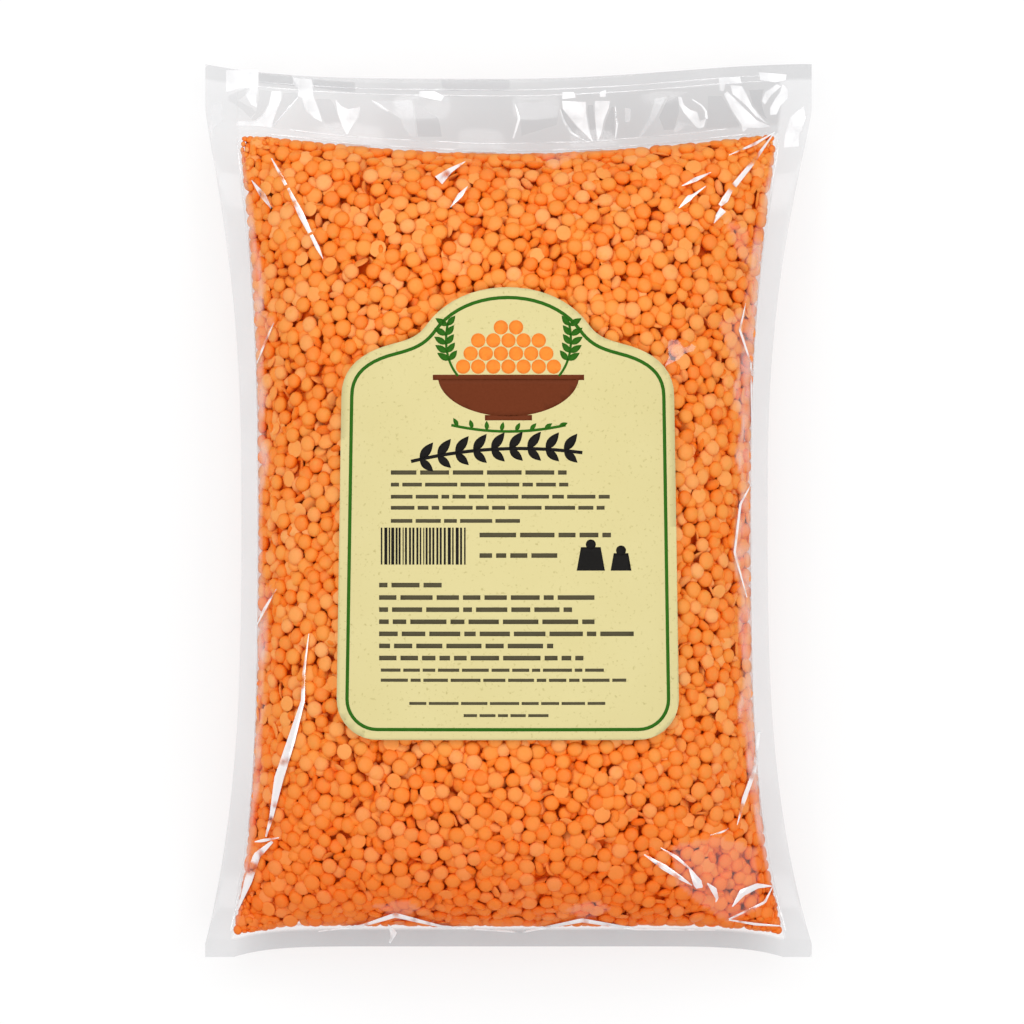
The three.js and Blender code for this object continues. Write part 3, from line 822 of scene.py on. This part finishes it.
def add_leaf(shape, foot, angle, length, width):
    """A pointed leaf from its foot, in the direction of the angle."""
    circle = bmesh.ops.create_circle(shape, cap_ends=True, segments=20, radius=1)["verts"]
    turn = Matrix.Rotation(math.radians(angle), 3, "Z")
    for corner in circle:
        along, across = corner.co.x, corner.co.y
        across *= math.sqrt(max(0, 1 - along * along)) * (1 - 0.25 * along)
        flat = turn @ Vector(((along + 1) / 2 * length, across * width / 2, 0))
        corner.co = ((foot[0] + flat.x) * MM, (foot[1] + flat.y) * MM, 0)


def stalk_spot(stalk, t):
    """The place at a share of the way along a stalk, which runs from its start to its end by its bend."""
    return [(1 - t) ** 2 * s + 2 * t * (1 - t) * m + t * t * e for s, m, e in zip(*stalk)]


def add_stalk(shape, stalk, width):
    """A thin curved line along a stalk."""
    for corner in bmesh.ops.create_grid(shape, x_segments=14, y_segments=1, size=0.5)["verts"]:
        t, across = corner.co.x + 0.5, corner.co.y
        spot = stalk_spot(stalk, t)
        course = Vector([(1 - t) * (m - s) + t * (e - m) for s, m, e in zip(*stalk)])
        course.normalize()
        x, y = spot[0] - course.y * across * width, spot[1] + course.x * across * width
        corner.co = (x * MM, y * MM, 0)


BORDER_INSET = 2.6 * MM
BORDER_WIDTH = 1.0 * MM
green_shape = bmesh.new()
outline = label_outline(green_shape)
inset = {"use_even_offset": True, "use_boundary": True}
bmesh.ops.inset_region(green_shape, faces=[outline], thickness=BORDER_INSET, **inset)
margin = [face for face in green_shape.faces if face is not outline]
bmesh.ops.inset_region(green_shape, faces=[outline], thickness=BORDER_WIDTH, **inset)
bmesh.ops.delete(green_shape, geom=margin + [outline], context="FACES")
for side in (-1, 1):
    stalk = [(side * 15, 40), (side * 20, 46), (side * 18, 56)]
    add_stalk(green_shape, stalk, 0.7)
    for rung in range(5):
        foot = stalk_spot(stalk, 0.35 + 0.15 * rung)
        add_leaf(green_shape, foot, 90 - side * 58, 4.2, 1.9)
        add_leaf(green_shape, foot, 90 + side * 38, 3.8, 1.8)
add_stalk(green_shape, [(-17, 25.4), (0, 21.6), (17, 25.4)], 0.8)
for step in range(8):
    along = (step - 3.5) / 3.5
    add_leaf(green_shape, (15 * along, 23.6 + 1.5 * along ** 2), 70 - 50 * along, 2.8, 1.3)
print_ink("print_green", green_shape, ink_finish("ink_green", paint(36, 92, 8)))

brown_shape = bmesh.new()
place = Matrix.Translation((0, 40 * MM, 0)) @ Matrix.Diagonal((1.75, 1, 1, 1))
bmesh.ops.create_circle(brown_shape, cap_ends=True, segments=64, radius=12 * MM, matrix=place)
geometry = brown_shape.verts[:] + brown_shape.edges[:] + brown_shape.faces[:]
rim_cut = {"plane_co": (0, 39 * MM, 0), "plane_no": (0, 1, 0), "clear_outer": True}
bmesh.ops.bisect_plane(brown_shape, geom=geometry, **rim_cut)
add_bar(brown_shape, -22.5, 22.5, 39.6, 1.6)
add_bar(brown_shape, -7, 7, 27.6, 1.6)
print_ink("print_brown", brown_shape, ink_finish("ink_brown", paint(98, 42, 14)))

orange_shape = bmesh.new()
for row, count in enumerate((7, 6, 5, 2)):
    for step in range(count):
        add_disc(orange_shape, (step - (count - 1) / 2) * 4.5, 42.8 + 3.9 * row, 2.15)
print_ink("print_orange", orange_shape, ink_finish("ink_orange", paint(236, 128, 44)))

print_chance = random.Random(5)
# Each line of bars: its middle, its left and right ends and its height, in millimetres.
SMALL_PRINT = [
    (11.3, -35, 17.3, 1.5), (7.7, -35, 17.8, 1.3), (4.1, -35, 30.2, 1.3), (0.8, -35, 28.6, 1.3),
    (-3.1, -35, 3.4, 1.3), (-7.3, -8.6, 30.5, 1.6), (-13.4, -8.6, 15.2, 1.6), (-22.2, -38.5, -18.2, 1.6),
    (-25.9, -38.5, 27.7, 1.6), (-29.5, -38.5, 20.2, 1.6), (-33.1, -38.5, 25.6, 1.6),
    (-36.7, -38.5, 37.3, 1.6), (-40.3, -38.5, 13.3, 1.6), (-43.9, -38.5, 22.3, 1.6),
    (-47.5, -38, 29, 1.1), (-50.5, -38, 37.3, 1.1), (-57.4, -29.5, 31, 1), (-61, -13.3, 11.9, 1),
]
grey_shape = bmesh.new()
for line, left, right, height in SMALL_PRINT:
    x = left
    while x < right - 1.5:
        word = min(print_chance.uniform(2.2, 10) * (0.5 + height / 2.6), right - x)
        add_bar(grey_shape, x, x + word, line, 0.85 * height)
        x += word + 0.75 * height
print_ink("print_grey", grey_shape, ink_finish("ink_grey", paint(74, 68, 48)))

black_shape = bmesh.new()
x = -38
while x < -13:
    stripe = print_chance.choice((0.3, 0.45, 0.6, 0.9))
    add_bar(black_shape, x, x + stripe, -10.6, 11)
    x += stripe + print_chance.choice((0.3, 0.4, 0.6))
twig = [(-29, 14.6), (-4, 20.6), (22, 17.2)]
add_stalk(black_shape, twig, 1)
for step in range(9):
    foot = stalk_spot(twig, (step + 0.5) / 9.5)
    add_leaf(black_shape, foot, 52, 6.4, 2.7)
    add_leaf(black_shape, foot, -42, 5.4, 2.4)
for middle, width, height in ((24.5, 8.4, 7), (33.5, 6.2, 5.2)):
    foot = -17.9
    for corner in bmesh.ops.create_grid(black_shape, x_segments=1, y_segments=1, size=0.5)["verts"]:
        up = corner.co.y + 0.5
        corner.co = ((middle + corner.co.x * width * (1 - 0.3 * up)) * MM, (foot + up * height) * MM, 0)
    add_disc(black_shape, middle, foot + height + 0.8, 1.5)
print_ink("print_black", black_shape, ink_finish("ink_black", paint(16, 14, 12)))

# The lentils. Red lentils without their skins, most of them whole, some split in two with a flat, paler
# inner face. They press against the film from inside in layers, down to the core, and small pieces fill
# the corners.
LENTIL_RADIUS = 2.5 * MM
LENTIL_THICKNESS = 2.2 * MM
SPLIT_THICKNESS = 1.35 * MM
FILM_CLEARANCE = 0.25 * MM
FILM_MARGIN = 0.1 * MM
RIM_SPOTS = 8  # round a lentil's rim, where it is tested against the film
FLATNESS = 2
SIZE_RANGE = (0.9, 1.08)
THICKNESS_RANGE = (0.9, 1.12)
UPTURNED = {"share": 0.08, "lean": (45, 80)}
FLAT_SIDE_OUT = 0.4  # share of the split lentils that show their flat side
COIN_WIDE = 0.74  # powers below 1, which make a sphere fuller towards its rim and flatter on top
COIN_FLAT = 0.82
SPLIT_FACE = {"below": -0.05, "height": -0.15, "hollow": 0.06}  # as shares of the thickness
CORNER_STRETCH = 0.12  # share of each side that counts as its corners
RIM_TILT = {"steepest": (30, 88), "step": 15}
RIM_ROOM = 1.06  # of a lentil's reach, from the line where the filling ends to its middle
LEAST_ROOM = 1.6  # of a lentil's half height, between the films
FREE_OF_LABEL = 3 * MM
BOX = 4 * MM  # of the boxes that the places taken are sorted into
# The share of each kind among the lentils that show. The layers further down are all of the kind "under".
KINDS = {"deep": 0.24, "orange": 0.24, "amber": 0.22, "peach": 0.16, "split": 0.14, "under": 0}
# Spacing, depth and scatter are in millimetres, the lean in degrees, and a form is segments and rings.
ROUND_RIM = {"side": "rim", "spacing": 2.8, "deeper": 0, "corners": 0.2, "size": 1, "form": (12, 6)}
IN_CORNERS = {"side": "rim", "deeper": 0, "corners": 1, "lean": 8, "tries": 14000}
FRONT = {"side": "front", "size": 1}
BACK = {"side": "back", "size": 1}
LAYERS = [
    {**ROUND_RIM, "scatter": 0.3, "lean": 6, "tries": 12000},
    {**ROUND_RIM, "scatter": 5, "lean": 12, "tries": 16000},
    {**FRONT, "spacing": 4.1, "deeper": 0, "scatter": 0.5, "lean": 10, "tries": 40000, "form": (14, 6)},
    {**FRONT, "spacing": 3.1, "deeper": 0.4, "scatter": 0.9, "lean": 20, "tries": 60000, "form": (12, 6)},
    {**FRONT, "spacing": 3.3, "deeper": 1.4, "scatter": 1.1, "lean": 24, "tries": 40000, "form": (10, 4)},
    {**BACK, "spacing": 4.0, "deeper": 0, "scatter": 0.6, "lean": 14, "tries": 20000, "form": (10, 4)},
    {**BACK, "spacing": 3.8, "deeper": 1.4, "scatter": 1.2, "lean": 30, "tries": 16000, "form": (8, 4)},
    {**IN_CORNERS, "spacing": 2.3, "size": 0.6, "scatter": 3, "form": (10, 4)},
    {**IN_CORNERS, "spacing": 1.6, "size": 0.4, "scatter": 1.5, "form": (8, 4)},
]
OUTWARDS = {"left": Vector((-1, 0, 0)), "right": Vector((1, 0, 0)),
            "top": Vector((0, 1, 0)), "bottom": Vector((0, -1, 0))}
chance = random.Random(11)


def lentil_form(segments, rings, split):
    """One lentil round the origin, with a unit radius and a unit thickness: its corners and its faces."""
    form = bmesh.new()
    bmesh.ops.create_uvsphere(form, u_segments=segments, v_segments=rings, radius=1)
    for corner in form.verts:
        out = max(0.001, Vector((corner.co.x, corner.co.y)).length)
        wider = out ** COIN_WIDE / out
        corner.co.x *= wider
        corner.co.y *= wider
        corner.co.z = math.copysign(0.5 * abs(corner.co.z) ** COIN_FLAT, corner.co.z)
        if split and corner.co.z < SPLIT_FACE["below"]:
            corner.co.z = SPLIT_FACE["height"] + SPLIT_FACE["hollow"] * out
    corners = [corner.co.copy() for corner in form.verts]
    # Sorted, because Blender lists a sphere's faces in another order in each run.
    faces = sorted([corner.index for corner in face.verts] for face in form.faces)
    form.free()
    return corners, faces


forms = {(layer["form"], split): lentil_form(*layer["form"], split)
         for layer in LAYERS for split in (False, True)}
heaps = {kind: {"corners": [], "faces": [], "tone": [], "inner": []} for kind in KINDS}


def add_lentil(kind, form, centre, facing, radius, thickness, tone):
    """Adds one lentil to its heap, facing the given way."""
    corners, faces = forms[form, kind == "split"]
    heap = heaps[kind]
    start = len(heap["corners"])
    turn = facing.to_track_quat("Z", "Y") @ Quaternion((0, 0, 1), chance.uniform(0, math.tau))
    oval = chance.uniform(0.94, 1.04)
    for corner in corners:
        spread = Vector((corner.x * radius * oval, corner.y * radius, corner.z * thickness))
        heap["corners"].append(centre + turn @ spread)
        flat_face = kind == "split" and corner.z < SPLIT_FACE["below"]
        heap["inner"].append(1 if flat_face else min(1, abs(corner.z) * 2))
    heap["tone"].extend([tone] * len(corners))
    heap["faces"].extend([start + index for index in face] for face in faces)


def box_round(centre):
    return tuple(math.floor(axis / BOX) for axis in centre)


def crowded(centre, facing, spacing):
    """True if another lentil is too near. Two lentils fit closer face to face than side by side."""
    box = box_round(centre)
    for i in (-1, 0, 1):
        for j in (-1, 0, 1):
            for k in (-1, 0, 1):
                for other in taken.get((box[0] + i, box[1] + j, box[2] + k), ()):
                    apart = other - centre
                    stacked = (FLATNESS ** 2 - 1) * apart.dot(facing) ** 2
                    if apart.length_squared + stacked < spacing ** 2:
                        return True
    return False


def pokes_out(centre, facing, radius, thickness):
    """True if a lentil there would come through the film."""
    sideways = facing.orthogonal().normalized() * radius
    spots = []
    for step in range(RIM_SPOTS):
        spoke = Quaternion(facing, step * math.tau / RIM_SPOTS) @ sideways
        shoulder = facing * (0.38 if step % 2 else -0.38) * thickness
        spots += [centre + spoke, centre + 0.7 * spoke + shoulder]
    for spot in spots:
        bottom, top = surface_heights(*film_place(spot.x, spot.y))
        if not bottom + FILM_MARGIN < spot.z < top - FILM_MARGIN:
            return True
    return False


def leaning(normal, lean):
    """A direction that leans away from the normal by an angle, to a random side."""
    sideways = normal.orthogonal().normalized()
    sideways.rotate(Quaternion(normal, chance.uniform(0, math.tau)))
    return Quaternion(sideways, lean) @ normal


def rim_place(layer, radius, thickness, lean):
    """A place by the line round the filling, and how a lentil faces there: as far outwards as it has room."""
    edge = chance.choice(list(OUTWARDS))
    along = chance.uniform(-1, 1)
    if chance.random() < layer["corners"]:
        along = math.copysign(1 - CORNER_STRETCH * chance.random(), along)
    inwards = layer["scatter"] * MM * chance.random() ** 2 + FILM_CLEARANCE
    tilt = chance.uniform(*RIM_TILT["steepest"])
    while tilt > -RIM_TILT["step"]:
        turn = math.radians(max(0, tilt))
        out = RIM_ROOM * math.hypot(radius * math.cos(turn), thickness / 2 * math.sin(turn)) + inwards
        tall = math.hypot(radius * math.sin(turn), thickness / 2 * math.cos(turn))
        a = (FILL_SIDE - out) * (OUTWARDS[edge].x or along)
        b = FILL_MIDDLE + (FILL_REACH - out) * (OUTWARDS[edge].y or along)
        bottom, top = surface_heights(a, b)
        if top - bottom > LEAST_ROOM * tall:
            centre = surface_point(a, b, True)
            spare = max(0, (top - bottom) / 2 - tall)
            centre.z = (top + bottom) / 2 + chance.uniform(-spare, spare)
            facing = math.cos(turn) * Vector((0, 0, 1)) + math.sin(turn) * OUTWARDS[edge]
            return centre, leaning(facing, lean)
        tilt -= RIM_TILT["step"]
    return None


def pressed_place(layer, radius, thickness, lean):
    """A place under the front or the back film, as deep as the layer lies, and how a lentil faces there."""
    front = layer["side"] == "front"
    a = FILL_SIDE * math.sin(chance.uniform(-0.5, 0.5) * math.pi)
    b = FILL_MIDDLE + FILL_REACH * math.sin(chance.uniform(-0.5, 0.5) * math.pi)
    reach = math.hypot(radius * math.sin(lean), thickness / 2 * math.cos(lean))
    spot = surface_point(a, b, front)
    if front and under_label(spot.x, spot.y, FREE_OF_LABEL):
        return None
    normal = surface_normal(a, b, front)
    depth = reach + (layer["deeper"] + chance.uniform(0, layer["scatter"])) * MM
    centre = spot - normal * (FILM_CLEARANCE + depth)
    inner_a, inner_b = film_place(centre.x, centre.y)
    bottom, top = surface_heights(inner_a, inner_b)
    if min(FILL_SIDE - abs(inner_a), inner_b - FILL_LOW, FILL_HIGH - inner_b) < reach:
        return None
    if centre.z > top - reach or centre.z < bottom + reach:
        return None
    return centre, leaning(normal, lean)


taken = {}
for layer in LAYERS:
    for attempt in range(layer["tries"]):
        kind = "under" if layer["deeper"] > 1 else chance.choices(list(KINDS), KINDS.values())[0]
        radius = LENTIL_RADIUS * layer["size"] * chance.uniform(*SIZE_RANGE)
        whole = SPLIT_THICKNESS if kind == "split" else LENTIL_THICKNESS
        thickness = whole * layer["size"] * chance.uniform(*THICKNESS_RANGE)
        lean = math.radians(min(85, abs(chance.gauss(0, layer["lean"]))))
        if chance.random() < UPTURNED["share"]:
            lean = math.radians(chance.uniform(*UPTURNED["lean"]))
        place = rim_place if layer["side"] == "rim" else pressed_place
        found = place(layer, radius, thickness, lean)
        if not found:
            continue
        centre, facing = found
        if crowded(centre, facing, layer["spacing"] * MM) or pokes_out(centre, facing, radius, thickness):
            continue
        taken.setdefault(box_round(centre), []).append(centre)
        if kind == "split" and chance.random() < FLAT_SIDE_OUT:
            facing = -facing
        add_lentil(kind, layer["form"], centre, facing, radius, thickness, chance.random())


def lentil_finish(name, strong, pale):
    """Matt lentil, lightly mottled, between a stronger and a paler colour, with painted shade at the rim and
    a painted highlight in the middle of each face, and stronger at the low end.
    """
    finish, nodes = new_finish(name)
    place = nodes.node("ShaderNodeTexCoord", output="Object")
    tone = attribute(nodes, "tone")
    inner = attribute(nodes, "inner")
    mottle = speckle(nodes, 900, 2)
    body = mixed_colour(nodes, tone * 0.7 + mottle * 0.6 - 0.15, strong, pale)
    # Painted shade: deeper orange towards each lentil's rim.
    rim_shaded = mixed_colour(nodes, 0.4 - 0.4 * inner, body, paint(238, 98, 0))
    stains = speckle(nodes, 520, 3)
    stained = mixed_colour(nodes, (stains - 0.52) * 3, rim_shaded, paint(226, 146, 56))
    # Painted highlight: paler in the middle of each face; the flat faces of split lentils are paler all over.
    highlit_middle_and_flat_face = mixed_colour(nodes, 0.34 * inner * inner * inner, stained, paint(250, 172, 96))
    along = nodes.node("ShaderNodeSeparateXYZ", None, {"Vector": place}, "Y")
    low_end = {"Value": along, "From Min": -60 * MM, "From Max": -118 * MM, "To Min": 0, "To Max": 0.55}
    stronger = nodes.node("ShaderNodeMapRange", None, low_end, "Result")
    colour = mixed_colour(nodes, stronger, highlit_middle_and_flat_face, paint(238, 100, 0))
    values = {"Base Color": colour, "Roughness": 0.42 + 0.16 * mottle, "Specular IOR Level": 0.22}
    finish_plainly(nodes, values)
    return finish


LENTIL_PAINTS = {
    "deep": (paint(239, 110, 6), paint(242, 124, 16)),
    "orange": (paint(239, 120, 16), paint(241, 136, 34)),
    "amber": (paint(239, 132, 32), paint(242, 148, 54)),
    "peach": (paint(241, 150, 72), paint(244, 170, 102)),
    "split": (paint(240, 134, 38), paint(243, 162, 84)),
    # The lentils further down are painted a stronger, brighter orange, as painted light for the light that
    # passes from lentil to lentil.
    "under": (paint(252, 114, 0), paint(252, 132, 8)),
}
for kind, heap in heaps.items():
    mesh = bpy.data.meshes.new("lentils_" + kind)
    mesh.from_pydata(heap["corners"], [], heap["faces"])
    mesh.shade_smooth()
    for name in ("tone", "inner"):
        mesh.attributes.new(name, "FLOAT", "POINT").data.foreach_set("value", heap[name])
    if kind == "split":
        mesh.set_sharp_from_angle(angle=math.radians(50))
    finish = lentil_finish("lentils_" + kind, *LENTIL_PAINTS[kind])
    new_piece("lentils_" + kind, mesh, finish, "pouch")

# The core. The lentils below the ones that show are one closed, lumpy body, a little smaller than the
# filling all round, in the strong orange that light has after it has passed from lentil to lentil.
CORE_DEPTH = 4.6 * MM
CORE_INSET = 2.4 * MM
CORE_CELL = 2.2 * MM
CORE_LUMP = 0.6 * MM
core_shape = bmesh.new()
for front in (True, False):
    for corner in add_sheet(core_shape, 2 * FILL_SIDE, 2 * FILL_REACH, CORE_CELL, front):
        on_rim = max(abs(corner.co.x), abs(corner.co.y)) > RIM
        a = corner.co.x * 2 * (FILL_SIDE - CORE_INSET)
        b = FILL_MIDDLE + corner.co.y * 2 * (FILL_REACH - CORE_INSET)
        x, y = seen_from_above(a, b)
        bottom, top = surface_heights(a, b)
        half = max(0.3 * MM, (top - bottom) / 2 - CORE_DEPTH)
        half += CORE_LUMP * noise.noise((a / (3 * MM), b / (3 * MM), 2.2 if front else 6.6))
        middle = (top + bottom) / 2
        corner.co = (x, y, middle if on_rim else middle + (half if front else -half))
bmesh.ops.remove_doubles(core_shape, verts=core_shape.verts, dist=0.01 * MM)

core_finish, nodes = new_finish("lentil_core")
place = nodes.node("ShaderNodeTexCoord", output="Object")
cells = nodes.node("ShaderNodeTexVoronoi", None, {"Vector": place, "Scale": 230, "Randomness": 1}, "Distance")
colour = mixed_colour(nodes, cells * 1.3, paint(250, 122, 10), paint(242, 102, 2))
values = {"Base Color": colour, "Roughness": 0.7, "Specular IOR Level": 0.2}
finish_plainly(nodes, values)
new_piece("lentil_core", mesh_from("lentil_core", core_shape), core_finish, "pouch")
